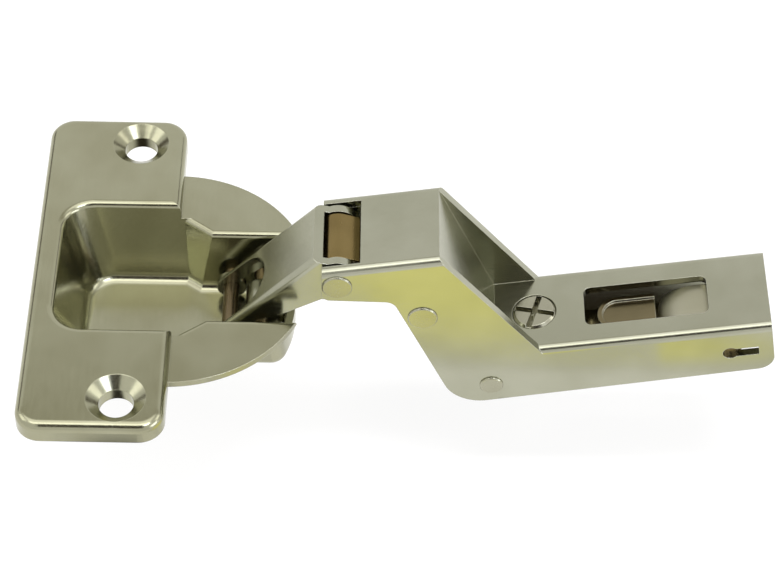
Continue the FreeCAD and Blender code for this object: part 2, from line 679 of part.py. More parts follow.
def make_arm():
    """The folded arm: a raised hump at the knuckle, a leaning web, and a base with two walls."""
    body = new_body("hinge_arm")
    corners = (
        ("0", "crank_height"), ("hump_length", "crank_height"), ("gusset_foot", "0"), ("arm_length", "0"),
        ("arm_length", "-tail_depth"), ("heel_x", "-heel_depth"),
        ("throat_x", "crank_height - throat_drop"), ("-snout", "crank_height - snout_drop"))
    outline = new_sketch(body, "arm_outline", "XZ_Plane")
    draw_polygon(outline, corners)
    pad(body, outline, "arm_width", both_ways=True)
    for corner, radius in zip(corners[4:], ("tail_corner", "heel_corner", "throat_corner", "snout_corner")):
        fillet(body, radius, corner_edge(*corner))
    fillet(body, "arm_fold", lambda edge: runs_along(edge, 0) and edge.CenterOfMass.z > -1e-3)

    inside = "arm_width - 2 * arm_sheet"
    channel = new_sketch(body, "arm_channel", "XZ_Plane")
    draw_polygon(channel, (
        ("-arm_width", "crank_height - arm_sheet"),
        (f"hump_length + {WEB_LEAN} * arm_sheet - {WEB_THROUGH}", "crank_height - arm_sheet"),
        (f"web_foot + {WEB_LEAN} * arm_sheet - {WEB_THROUGH}", "-arm_sheet"),
        ("arm_length + arm_width", "-arm_sheet"), ("arm_length + arm_width", "-arm_width"),
        ("-arm_width", "-arm_width")))
    pocket(body, channel, inside, both_ways=True)
    wings = new_sketch(body, "wing_recess", "XZ_Plane")
    draw_polygon(wings, (
        ("hump_length", "crank_height"), ("web_foot", "0"), ("gusset_foot + arm_fold", "0"),
        ("gusset_foot + arm_fold", "crank_height * 2"), ("hump_length", "crank_height * 2")))
    pocket(body, wings, inside, both_ways=True)

    notch = new_sketch(body, "roof_notch", "XY_Plane", shift="crank_height")
    notch_half = "(outer_link_width / 2 + side_gap)"
    draw_box(notch, "-arm_width", "notch_length", f"-{notch_half}", notch_half)
    pocket(body, notch, "arm_sheet * 2")
    window = new_sketch(body, "base_window", "XY_Plane")
    draw_box(window, WINDOW_START, WINDOW_END, "-window_width / 2", "window_width / 2")
    pocket(body, window, "arm_sheet * 2")
    fillet(body, "window_corner", lambda edge: runs_along(edge, 2) and
           close_to(abs(edge.CenterOfMass.y), "window_width / 2") and
           edge.CenterOfMass.x > size("gusset_foot"))
    collar = new_sketch(body, "adjuster_collar", "XY_Plane", shift="-arm_sheet / 2")
    draw_circle(collar, "adjuster_x", "0", "adjuster_diameter / 2 + running_gap + collar_wall")
    pad(body, collar, "collar_depth", backwards=True)
    thread = new_sketch(body, "adjuster_bore", "XY_Plane")
    draw_circle(thread, "adjuster_x", "0", "adjuster_diameter / 2 + running_gap")
    pocket(body, thread, "arm_sheet + collar_depth")
    for name, across, up, diameter in (
            ("knuckle_hole", "knuckle_in", "crank_height - knuckle_down", "rivet_diameter"),
            ("inner_rivet_hole", "inner_rivet_in", "crank_height - inner_rivet_down", "rivet_diameter"),
            ("hook_hole", "hook_in", "-hook_down", "hook_diameter"),
            ("latch_hole", LATCH_X, "-latch_pin_down", "latch_pin_diameter")):
        hole = new_sketch(body, name, "XZ_Plane")
        draw_circle(hole, across, up, f"{diameter} / 2")
        pocket(body, hole, "arm_width * 2", both_ways=True)
    slot = new_sketch(body, "keyhole_slot", "XZ_Plane")
    draw_box(slot, LATCH_X, KEYHOLE_END, "-latch_pin_down - keyhole_slot / 2",
             "-latch_pin_down + keyhole_slot / 2")
    pocket(body, slot, "arm_width * 2", both_ways=True)
    place_on_arm(body)
    return body


def make_spring():
    """A flat band wound on the knuckle's rivet, its free leg running back under the roof."""
    lean = math.radians(size("90 - band_leg_angle"))
    along = FreeCAD.Vector(math.cos(lean), 0, math.sin(lean))
    rivet = FreeCAD.Vector(size("knuckle_in"), 0, size("crank_height - knuckle_down"))
    half, step = size("band / 2"), size("band_pitch / 2")
    first = size("rivet_diameter / 2 + band_bore_gap") + step + half
    chains = ([], [])
    ends = []
    for turn in range(int(size("band_half_turns"))):
        sign = 1 if turn % 2 else -1
        centre = rivet if turn % 2 else rivet - along * step
        across = FreeCAD.Vector(along.z, 0, -along.x) * sign
        for chain, shift in zip(chains, (-half, half)):
            radius = first + turn * step + shift
            spots = (centre - along * sign * radius, centre - across * radius, centre + along * sign * radius)
            chain.append(Part.Arc(*spots).toShape())
            ends.append(spots)
    leg = FreeCAD.Vector(along.z, 0, -along.x)
    inner_end, outer_end = ends[-2][2], ends[-1][2]
    run = (size("band_leg_end") - outer_end.x) / leg.x
    inner_tip, outer_tip = inner_end + leg * run, outer_end + leg * run
    edges = chains[0] + chains[1]
    edges += [Part.makeLine(inner_end, inner_tip), Part.makeLine(outer_end, outer_tip)]
    edges += [Part.makeLine(inner_tip, outer_tip), Part.makeLine(ends[0][0], ends[1][0])]
    face = Part.Face(Part.Wire(Part.__sortEdges__(edges)))
    width = size("outer_link_width - 2 * link_sheet - 2 * band_side_gap")
    spring = doc.addObject("Part::Feature", "closing_spring")
    spring.Label = "closing_spring"
    face.translate(FreeCAD.Vector(0, -width / 2, 0))
    spring.Shape = face.extrude(FreeCAD.Vector(0, width, 0))
    place_on_arm(spring)
    return spring


def make_adjuster():
    """A headless screw with a cross slot, and below it the neck and foot that grip a plate."""
    body = new_body("side_adjust_screw")
    level = "adjuster_proud"
    for name, length, diameter in (
            ("thread_round", "adjuster_length", "adjuster_diameter"),
            ("neck_round", "adjuster_neck_length", "adjuster_neck_diameter"),
            ("foot_round", "adjuster_foot_length", "adjuster_foot_diameter")):
        outline = new_sketch(body, name, "XY_Plane", shift=level)
        draw_circle(outline, "adjuster_x", "0", f"{diameter} / 2")
        pad(body, outline, length, backwards=True)
        level += f" - {length}"
    top = size("adjuster_proud") - 1e-3
    chamfer(body, "adjuster_chamfer", lambda edge: edge.BoundBox.ZMin > top)
    reach = "(adjuster_diameter * cross_share / 2)"
    slim = "(cross_width / 2)"
    middle = ("adjuster_x * cos(cross_turn)", "-adjuster_x * sin(cross_turn)")
    for name, along, across in (("cross_one", reach, slim), ("cross_two", slim, reach)):
        cross = new_sketch(body, name, "XY_Plane", shift="adjuster_proud", turn="cross_turn")
        draw_box(cross, f"{middle[0]} - {along}", f"{middle[0]} + {along}",
                 f"{middle[1]} - {across}", f"{middle[1]} + {across}")
        pocket(body, cross, "cross_depth")
    place_on_arm(body)
    return body


def make_latch():
    """The clip: a barrel on the latch pin, a plate under the window and a curled tongue."""
    body = new_body("clip_latch")
    barrel = new_sketch(body, "latch_barrel", "XZ_Plane")
    draw_circle(barrel, LATCH_X, "-latch_pin_down", "latch_eye_radius")
    pad(body, barrel, "arm_width - 2 * arm_sheet - 2 * side_gap", both_ways=True)
    half = "latch_sheet / 2"
    plate = new_sketch(body, "latch_plate", "XZ_Plane")
    plate_front = f"{WINDOW_START} - latch_plate_lap"
    draw_polygon(plate, (
        (plate_front, f"-latch_front_down - {half}"), (LATCH_X, f"-latch_pin_down - {half}"),
        (LATCH_X, f"-latch_pin_down + {half}"), (plate_front, f"-latch_front_down + {half}")))
    pad(body, plate, "latch_width", both_ways=True)
    finger = new_sketch(body, "latch_finger", "XZ_Plane")
    draw_polygon(finger, (
        (LATCH_X, f"-latch_pin_down - {half}"), (LATCH_TAIL, f"-latch_tail_down - {half}"),
        (LATCH_TAIL, f"-latch_tail_down + {half}"), (LATCH_X, f"-latch_pin_down + {half}")))
    pad(body, finger, "latch_width", both_ways=True)
    curl_up = f"(-latch_front_down - {half} + latch_curl_radius)"
    curl_x = f"({LATCH_FRONT} + latch_curl_in)"
    curl = new_sketch(body, "latch_curl", "XZ_Plane")
    draw_circle(curl, curl_x, curl_up, "latch_curl_radius")
    pad(body, curl, "latch_curl_width", both_ways=True)
    hollow = new_sketch(body, "curl_hollow", "XZ_Plane")
    draw_circle(hollow, curl_x, curl_up, "latch_curl_radius - latch_sheet")
    pocket(body, hollow, "latch_width", both_ways=True)
    mouth = new_sketch(body, "curl_mouth", "XZ_Plane")
    draw_box(mouth, curl_x, f"{curl_x} + latch_curl_radius * 2",
             f"{curl_up} - latch_curl_radius + latch_sheet", f"{curl_up} + latch_curl_radius - latch_sheet")
    pocket(body, mouth, "latch_width", both_ways=True)
    top = f"({curl_up} + latch_curl_radius)"
    nose_x = f"({LATCH_FRONT} - latch_curl_radius + latch_width / 2)"
    for name, inset, depth, shape in (("tongue", "0", "latch_sheet", pad), ("dish", "latch_rim", "latch_dish", pocket)):
        breadth = f"(latch_width / 2 - {inset})"
        nose = new_sketch(body, f"{name}_nose", "XY_Plane", shift=top)
        draw_circle(nose, nose_x, "0", breadth)
        shape(body, nose, depth, backwards=shape is pad)
        run = new_sketch(body, f"{name}_run", "XY_Plane", shift=top)
        draw_box(run, nose_x, TONGUE_END, f"-{breadth}", breadth)
        shape(body, run, depth, backwards=shape is pad)
    bore = new_sketch(body, "latch_bore", "XZ_Plane")
    draw_circle(bore, LATCH_X, "-latch_pin_down", "latch_pin_diameter / 2 + running_gap")
    pocket(body, bore, "arm_width", both_ways=True)
    place_on_arm(body)
    return body


def make_leaf():
    """The latch's leaf spring: an arched strip seated under the base, its end on the latch's plate."""
    half = size("leaf / 2")
    crown_up = -size("arm_sheet + leaf_gap") - half
    spots = ((size(LEAF_END), -size("leaf_end_down")), (size(f"({LEAF_END} + {LEAF_ROOT}) / 2"), crown_up),
             (size(LEAF_ROOT), -size("leaf_seat")))
    circle = Part.Arc(*(FreeCAD.Vector(x, 0, z) for x, z in spots)).toShape().Curve
    centre, radius = circle.Center, circle.Radius
    def moved(spot, amount):
        spoke = (FreeCAD.Vector(spot[0], 0, spot[1]) - centre).normalize()
        return centre + spoke * (radius + amount)
    outer = [moved(spot, half) for spot in spots]
    inner = [moved(spot, -half) for spot in spots]
    edges = [Part.Arc(*outer).toShape(), Part.Arc(*inner).toShape(),
             Part.makeLine(outer[0], inner[0]), Part.makeLine(outer[2], inner[2])]
    face = Part.Face(Part.Wire(Part.__sortEdges__(edges)))
    width = size("leaf_width")
    face.translate(FreeCAD.Vector(0, -width / 2, 0))
    leaf = doc.addObject("Part::Feature", "latch_spring")
    leaf.Label = "latch_spring"
    strip = face.extrude(FreeCAD.Vector(0, width, 0))
    corners = [edge for edge in strip.Edges if abs(edge.Length - 2 * half) < 1e-3 and
               edge.CenterOfMass.x < size(LEAF_END) + half]
    leaf.Shape = strip.makeFillet(size("leaf_nose"), corners)
    place_on_arm(leaf)
    return leaf


def check_and_write(pieces):
    """Stops on any failed feature or bad solid, then writes one file for each piece."""
    doc.recompute()
    for item in doc.Objects:
        if "Invalid" in item.State or "Error" in item.State:
            raise RuntimeError(f"{item.Label} failed: {item.State}")
    os.makedirs("parts", exist_ok=True)
    for piece in pieces:
        if piece.Shape.isNull() or not piece.Shape.isValid():
            raise RuntimeError(f"{piece.Label} has no good shape")
        piece.Shape.exportStep(f"parts/{piece.Label}.step")
        print(f"{piece.Label}: {piece.Shape.Volume:.2f} mm3 in {len(piece.Shape.Solids)} solid")


check_and_write((
    make_cup(),
    make_cup_pin("outer_link_pin", "outer_pin_x", "outer_pin_drop"),
    make_cup_pin("inner_link_pin", "inner_pin_x", "inner_pin_drop"),
    make_outer_link(),
    make_inner_link(),
    make_arm(),
    make_rivet("outer_link_rivet", "rivet_diameter", "rivet_head_diameter",
               "knuckle_in", "crank_height - knuckle_down"),
    make_rivet("inner_link_rivet", "rivet_diameter", "rivet_head_diameter",
               "inner_rivet_in", "crank_height - inner_rivet_down"),
    make_rivet("hook_pin", "hook_diameter", "hook_head_diameter", "hook_in", "-hook_down"),
    make_spring(),
    make_adjuster(),
    make_latch(),
    make_latch_pin(),
    make_leaf(),
))
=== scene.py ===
"""Studio scene of a cranked concealed hinge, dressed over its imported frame."""
import json
import logging
import math
from dataclasses import dataclass
from enum import Enum
from typing import Any

import bpy
import numpy as np
from mathutils import Matrix, Vector


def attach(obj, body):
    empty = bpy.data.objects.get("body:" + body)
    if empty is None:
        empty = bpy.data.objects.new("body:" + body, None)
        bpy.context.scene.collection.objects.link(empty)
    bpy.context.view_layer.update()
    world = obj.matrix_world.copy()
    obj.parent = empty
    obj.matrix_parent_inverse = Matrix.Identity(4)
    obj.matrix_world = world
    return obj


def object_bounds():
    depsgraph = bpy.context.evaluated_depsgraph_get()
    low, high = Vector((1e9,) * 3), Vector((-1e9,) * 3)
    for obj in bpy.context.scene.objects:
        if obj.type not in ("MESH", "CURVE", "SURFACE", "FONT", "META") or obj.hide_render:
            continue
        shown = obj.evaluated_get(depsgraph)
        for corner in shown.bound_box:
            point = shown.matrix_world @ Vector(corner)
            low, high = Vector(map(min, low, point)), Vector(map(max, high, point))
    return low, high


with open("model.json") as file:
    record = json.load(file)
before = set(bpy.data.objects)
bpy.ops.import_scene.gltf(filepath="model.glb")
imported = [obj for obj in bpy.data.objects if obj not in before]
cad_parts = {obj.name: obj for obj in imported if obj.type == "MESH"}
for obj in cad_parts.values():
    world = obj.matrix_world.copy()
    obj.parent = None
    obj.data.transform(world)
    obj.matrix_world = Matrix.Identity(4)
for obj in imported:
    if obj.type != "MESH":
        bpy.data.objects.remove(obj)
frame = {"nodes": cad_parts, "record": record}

LOG = logging.getLogger("hinge_scene")
MM = 0.001
WHITE = "#FFFFFF"
CAD_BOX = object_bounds()


def linear(code: str) -> tuple[float, float, float, float]:
    """Turn an sRGB hex colour into linear RGBA.

    Args:
        code: Colour as "#RRGGBB".

    Returns:
        Linear red, green and blue with full alpha.
    """
    parts = np.array([int(code[i:i + 2], 16) for i in (1, 3, 5)]) / 255.0
    lin = np.where(parts <= 0.04045, parts / 12.92, ((parts + 0.055) / 1.055) ** 2.4)
    return (float(lin[0]), float(lin[1]), float(lin[2]), 1.0)


def add_node(tree: bpy.types.NodeTree, kind: str, inputs: dict[Any, Any] | None = None,
             **settings: Any) -> bpy.types.Node:
    """Add a node with its settings and links.

    Args:
        tree: Node tree that takes the node.
        kind: Blender's name for the node type.
        inputs: Input name or number to a value, or to the output socket that feeds it.
        settings: Attributes of the node itself.

    Returns:
        The new node.
    """
    node = tree.nodes.new(kind)
    for name, value in settings.items():
        setattr(node, name, value)
    for name, value in (inputs or {}).items():
        if isinstance(value, bpy.types.NodeSocket):
            tree.links.new(value, node.inputs[name])
        else:
            node.inputs[name].default_value = value
    return node


def blank_material(name: str) -> bpy.types.Material:
    """Make an empty node material called name."""
    material = bpy.data.materials.new(name)
    material.use_nodes = True
    material.node_tree.nodes.clear()
    return material


def paint(node: str, material: bpy.types.Material) -> None:
    """Put a material into every slot of a solid carried over from the frame."""
    for slot in frame["nodes"][node].material_slots:
        slot.material = material
    LOG.info("%s wears %s", node, material.name)


class Roll(Enum):
    """Axis along which a sheet or wire was drawn, as the place of its long grain."""

    X = 0
    Y = 1
    Z = 2


@dataclass(frozen=True)
class PlatedSteel:
    """Pressed or drawn steel under a thin nickel plate.

    The plate is satin and slightly olive. Rolling lines run along the sheet, its tone drifts in soft
    clouds, and the edges are painted brighter than the flats, partly as polish from handling and partly as
    painted highlight.

    Attributes:
        name: Name of the material.
        tone: Colour of the flats.
        cloud_tone: Colour that the flats drift to.
        edge_polish_and_highlight_tone: Colour of the edges, brightened partly as polish and partly as
            painted highlight.
        roughness: Roughness in the low and the high rolling lines.
        roll: Axis that the rolling lines follow.
        line_mm: Length and width of a rolling line.
        line_depth_mm: Height of the rolling lines.
        line_span: Share of the noise over which the roughness changes.
        cloud_mm: Size of a cloud.
        cloud_span: Share of the noise over which the tone drifts.
        edge_mm: Radius by which edges are eased.
        edge_span: Cosine of the easing where an edge begins to shine and where it shines fully.
        edge_samples: Samples for the easing.
    """

    name: str
    tone: str
    cloud_tone: str
    edge_polish_and_highlight_tone: str
    roughness: tuple[float, float]
    roll: Roll = Roll.X
    line_mm: tuple[float, float] = (3.0, 0.30)
    line_depth_mm: float = 0.0002
    line_span: tuple[float, float] = (0.3, 0.7)
    cloud_mm: float = 9.0
    cloud_span: tuple[float, float] = (0.35, 0.65)
    edge_mm: float = 0.14
    edge_span: tuple[float, float] = (0.995, 0.80)
    edge_samples: int = 6

    def material(self) -> bpy.types.Material:
        """Build the finish as a procedural metal.

        Returns:
            The node material.
        """
        made = blank_material(self.name)
        tree = made.node_tree
        place = add_node(tree, "ShaderNodeTexCoord").outputs["Object"]
        lines = self.rolling_lines(tree, place)
        rounded = add_node(tree, "ShaderNodeBevel", {"Radius": self.edge_mm * MM}, samples=self.edge_samples)
        low, high = self.line_span
        smooth, coarse = self.roughness
        rough = add_node(tree, "ShaderNodeMapRange", {"Value": lines, 1: low, 2: high, 3: smooth, 4: coarse})
        relief = add_node(tree, "ShaderNodeBump", {
            "Height": lines, "Normal": rounded.outputs[0],
            "Distance": self.line_depth_mm * MM, "Strength": 1.0})
        metal = add_node(tree, "ShaderNodeBsdfPrincipled", {
            "Base Color": self.worn_and_highlit_colour(tree, place, rounded.outputs[0]), "Metallic": 1.0,
            "Roughness": rough.outputs[0], "Normal": relief.outputs[0]})
        add_node(tree, "ShaderNodeOutputMaterial", {"Surface": metal.outputs[0]})
        return made

    def rolling_lines(self, tree: bpy.types.NodeTree, place: bpy.types.NodeSocket) -> bpy.types.NodeSocket:
        """Stretch noise along the rolling direction.

        Rolling lines are finer than a pixel on the real sheet, so they are drawn about three times as wide.

        Args:
            tree: Node tree of the finish.
            place: Object coordinates.

        Returns:
            Height of the lines.
        """
        size = [self.line_mm[1]] * 3
        size[self.roll.value] = self.line_mm[0]
        stretched = add_node(tree, "ShaderNodeMapping", {
            "Vector": place, "Scale": [1.0 / (length * MM) for length in size]})
        lines = add_node(tree, "ShaderNodeTexNoise", {
            "Vector": stretched.outputs[0], "Scale": 1.0, "Detail": 3.0})
        return lines.outputs[0]

    def worn_and_highlit_colour(self, tree: bpy.types.NodeTree, place: bpy.types.NodeSocket,
                    rounded: bpy.types.NodeSocket) -> bpy.types.NodeSocket:
        """Let the plate's tone drift in clouds and brighten where the eased normal leaves the flat one, as
        polish and as painted highlight on the edges.

        Args:
            tree: Node tree of the finish.
            place: Object coordinates.
            rounded: Normal with eased edges.

        Returns:
            Colour of the plate.
        """
        cloud = add_node(tree, "ShaderNodeTexNoise", {
            "Vector": place, "Scale": 1.0 / (self.cloud_mm * MM), "Detail": 2.0})
        low, high = self.cloud_span
        drift = add_node(tree, "ShaderNodeMapRange", {
            "Value": cloud.outputs[0], 1: low, 2: high, 3: 0.0, 4: 1.0})
        plate = add_node(tree, "ShaderNodeMix", {
            0: drift.outputs[0], 6: linear(self.tone), 7: linear(self.cloud_tone)}, data_type="RGBA")
        flat = add_node(tree, "ShaderNodeNewGeometry").outputs["Normal"]
        bend = add_node(tree, "ShaderNodeVectorMath", {0: rounded, 1: flat}, operation="DOT_PRODUCT")
        begin, full = self.edge_span
        edge = add_node(tree, "ShaderNodeMapRange", {
            "Value": bend.outputs["Value"], 1: begin, 2: full, 3: 0.0, 4: 1.0})
        # The edges are painted brighter here: partly polish, partly painted highlight.
        colour = add_node(tree, "ShaderNodeMix", {
            0: edge.outputs[0], 6: plate.outputs[2], 7: linear(self.edge_polish_and_highlight_tone)}, data_type="RGBA")
        return colour.outputs[2]


# Folded nickel-plated sheet: a soft mirror, pale grey with a little olive.
NICKEL_SHEET = PlatedSteel("satin_nickel_sheet", "#ACAC99", "#A4A490", "#C1C0AF", (0.19, 0.24),
                           line_depth_mm=0.0003)
# Deep-drawn nickel-plated cup: stretched in the press, so it is smoother and more olive than the sheet.
NICKEL_CUP = PlatedSteel("satin_nickel_cup", "#A5A48B", "#9C9A80", "#BFBDA9", (0.17, 0.22), roll=Roll.Y,
                         line_depth_mm=0.0003)
# Tongue steel: dark brown flats, with a painted highlight along its edge, much brighter than the flats.
TONGUE_STEEL_EDGE_HIGHLIGHT = PlatedSteel("dark_tongue_steel_edge_highlight", "#7E7458", "#6E654B", "#D2D0BE", (0.15, 0.22),
                           edge_mm=0.22)
# Drawn and plated pin wire: as pale as the sheet, but a little duller.
PIN_STEEL = PlatedSteel("drawn_pin_steel", "#A9A894", "#9D9B86", "#BDBBA9", (0.20, 0.28), roll=Roll.Y)
# Pin wire painted dark and brown as painted shade, for the pins that sit deep between the links and in the
# latch's hole; its lights are soft.
SHADED_PIN_STEEL = PlatedSteel("painted_shade_pin_steel", "#7C6F56", "#6A5D45", "#8E826A", (0.24, 0.34), roll=Roll.Y)
# Turned screw in bright nickel: the palest piece, with crisp lights in its slots.
SCREW_STEEL = PlatedSteel("bright_nickel_screw", "#B2B09D", "#A6A490", "#C6C4B2", (0.16, 0.24), roll=Roll.Z,
                          line_depth_mm=0.0003)
# Rolled spring leaf: tumbled smooth, so it shines broadly and shows hardly a line.
LEAF_STEEL = PlatedSteel("spring_leaf_steel", "#B1AE99", "#A6A38D", "#CAC8B8", (0.28, 0.36),
                         line_depth_mm=0.0001)
# Tempered spring band: its bronze tone comes from the heat.
BAND_STEEL = PlatedSteel("bronze_spring_band", "#86744A", "#74633D", "#9C8A5C", (0.20, 0.28), roll=Roll.Y)


@dataclass
class CupGroup:
    """The pressed cup and the two pins that it carries."""

    shell: str = "hinge_cup"
    pins: tuple[str, str] = ("outer_link_pin", "inner_link_pin")

    def dress(self) -> None:
        """Put the cup's plate and the pins' steel on."""
        paint(self.shell, NICKEL_CUP.material())
        # The cup's pins are painted dark brown as painted shade.
        steel = SHADED_PIN_STEEL.material()
        for pin in self.pins:
            paint(pin, steel)


@dataclass
class ScrewThread:
    """Rolled thread on the side-adjusting screw, below the collar that the screw turns in.

    Attributes:
        joint: Joint whose axis is the screw's own.
        radius_mm: Radius of the screw's shank.
        height_mm: Height of the ridge over the shank.
        root_mm: Depth by which the ridge is rooted in the shank.
        pitch_mm: Rise of one turn.
        ridge_mm: Width of the ridge at its root.
        start_mm: Depth of the first turn below the joint's place.
        turns: Number of turns.
        steps: Sections along the ridge.
    """

    joint: str = "side_adjust_turn"
    radius_mm: float = 3.15
    height_mm: float = 0.22
    root_mm: float = 0.08
    pitch_mm: float = 0.75
    ridge_mm: float = 0.52
    start_mm: float = 3.15
    turns: float = 3.5
    steps: int = 192

    def build(self, steel: bpy.types.Material) -> bpy.types.Object:
        """Wind the ridge round the screw's axis.

        A point is top + r * (cos(t) * side + sin(t) * front) - (start + pitch * t / turn + lift) * axis.
        The three-cornered profile gives r and lift, and its crest sinks away over the first and last half
        turn.

        Args:
            steel: Material of the ridge.

        Returns:
            The ridge's object.
        """
        joint = next(j for j in frame["record"]["behaviour"]["joints"] if j["name"] == self.joint)
        top, axis = np.array(joint["pos_m"]), np.array(joint["axis"])
        axis = axis / np.linalg.norm(axis)
        front = np.array((0.0, 1.0, 0.0))
        side = np.cross(front, axis)
        round_at = np.linspace(0.0, self.turns, self.steps)
        fade = np.clip(2.0 * np.minimum(round_at, self.turns - round_at), 0.0, 1.0)
        root = np.full_like(fade, self.radius_mm - self.root_mm)
        reach = np.stack([root, root + (self.root_mm + self.height_mm) * fade, root], axis=1)
        lift = np.array([-0.5, 0.0, 0.5]) * self.ridge_mm
        down = self.start_mm + self.pitch_mm * round_at[:, None] + lift
        angle = 2.0 * np.pi * round_at[:, None, None]
        spoke = np.cos(angle) * side + np.sin(angle) * front
        points = top + (reach[..., None] * spoke - down[..., None] * axis) * MM
        last = 3 * (self.steps - 1)
        corner = np.arange(last).reshape(-1, 3)
        turned = np.roll(corner, -1, axis=1)
        bands = np.stack([corner, turned, turned + 3, corner + 3], axis=-1).reshape(-1, 4)
        ends = [(2, 1, 0), (last, last + 1, last + 2)]
        mesh = bpy.data.meshes.new("adjuster_thread")
        mesh.from_pydata(points.reshape(-1, 3).tolist(), [], bands.tolist() + ends)
        mesh.update()
        mesh.materials.append(steel)
        ridge = bpy.data.objects.new("adjuster_thread", mesh)
        bpy.context.scene.collection.objects.link(ridge)
        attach(ridge, "adjuster")
        LOG.info("%s wears %s", ridge.name, steel.name)
        return ridge


@dataclass
class ArmGroup:
    """The folded arm, the links and everything that they carry."""

    sheets: tuple[str, ...] = ("hinge_arm", "outer_link", "inner_link")
    rivets: tuple[str, ...] = ("outer_link_rivet", "inner_link_rivet", "hook_pin")

    def dress(self) -> None:
        """Put the sheet plate, the pin steel and the spring steels on."""
        sheet = NICKEL_SHEET.material()
        for node in self.sheets:
            paint(node, sheet)
        steel = PIN_STEEL.material()
        for node in self.rivets:
            paint(node, steel)
        # The latch pin is painted dark brown as painted shade.
        paint("latch_pin", SHADED_PIN_STEEL.material())
        paint("closing_spring", BAND_STEEL.material())
        bright = SCREW_STEEL.material()
        paint("side_adjust_screw", bright)
        ScrewThread().build(bright)
        # The tongue's bright edge is a painted highlight.
        paint("clip_latch", TONGUE_STEEL_EDGE_HIGHLIGHT.material())
        paint("latch_spring", LEAF_STEEL.material())


@dataclass
class Card:
    """A flat studio card that only shows in reflections.

    The card is a rectangle centred at a point and turned to face another point. A soft card fades to white
    paper towards its rim.

    Attributes:
        name: Name of the card and of its paper.
        at_mm: Middle of the card.
        facing_mm: Point that it faces.
        size_mm: Width and height.
        tone: Colour of the paper.
        strength: Brightness of the paper, with 1 for paper that looks as it is written.
        soft: Share of the way to the rim over which the card fades.
    """

    name: str
    at_mm: tuple[float, float, float]
    facing_mm: tuple[float, float, float]
    size_mm: tuple[float, float]
    tone: str = WHITE
    strength: float = 1.0
    soft: float = 0.0

    def build(self) -> bpy.types.Object:
        """Build the card.

        The surface is centre + u * side + v * up, with u and v from minus to plus half of its size.

        Returns:
            The card's object.
        """
        at, facing = np.array(self.at_mm) * MM, np.array(self.facing_mm) * MM
        normal = (facing - at) / np.linalg.norm(facing - at)
        lies_level = abs(normal[2]) >= 0.99
        side = np.cross((0.0, 1.0, 0.0) if lies_level else (0.0, 0.0, 1.0), normal)
        side /= np.linalg.norm(side)
        up = np.cross(normal, side)
        u = np.array([-0.5, 0.5, 0.5, -0.5])[:, None] * self.size_mm[0] * MM
        v = np.array([-0.5, -0.5, 0.5, 0.5])[:, None] * self.size_mm[1] * MM
        mesh = bpy.data.meshes.new(self.name)
        mesh.from_pydata((at + u * side + v * up).tolist(), [], [(0, 1, 2, 3)])
        card = bpy.data.objects.new(self.name, mesh)
        bpy.context.scene.collection.objects.link(card)
        mesh.materials.append(self.paper())
        card.visible_camera = card.visible_diffuse = card.visible_shadow = False
        return card

    def paper(self) -> bpy.types.Material:
        """Build the card's glow, faded by the distance from its middle where the card is soft."""
        paper = blank_material(self.name)
        tree = paper.node_tree
        tone = [channel * self.strength for channel in linear(self.tone)[:3]] + [1.0]
        glow = add_node(tree, "ShaderNodeEmission", {"Color": tone, "Strength": 1.0})
        if self.soft:
            place = add_node(tree, "ShaderNodeTexCoord").outputs["Object"]
            out = add_node(tree, "ShaderNodeMapping", {
                "Vector": place, "Location": [-c * MM for c in self.at_mm]}, vector_type="POINT")
            spread = [2.0 / (length * MM) for length in self.size_mm] + [0.0]
            ratio = add_node(tree, "ShaderNodeVectorMath", {
                0: out.outputs[0], 1: spread}, operation="MULTIPLY")
            away = add_node(tree, "ShaderNodeVectorMath", {0: ratio.outputs[0]}, operation="LENGTH")
            fade = add_node(tree, "ShaderNodeMapRange", {
                "Value": away.outputs["Value"], 1: 1.0 - self.soft, 2: 1.0, 3: 0.0, 4: 1.0},
                interpolation_type="SMOOTHSTEP")
            colour = add_node(tree, "ShaderNodeMix", {
                0: fade.outputs[0], 6: tone, 7: linear(WHITE)}, data_type="RGBA")
            tree.links.new(colour.outputs[2], glow.inputs["Color"])
        add_node(tree, "ShaderNodeOutputMaterial", {"Surface": glow.outputs[0]})
        return paper


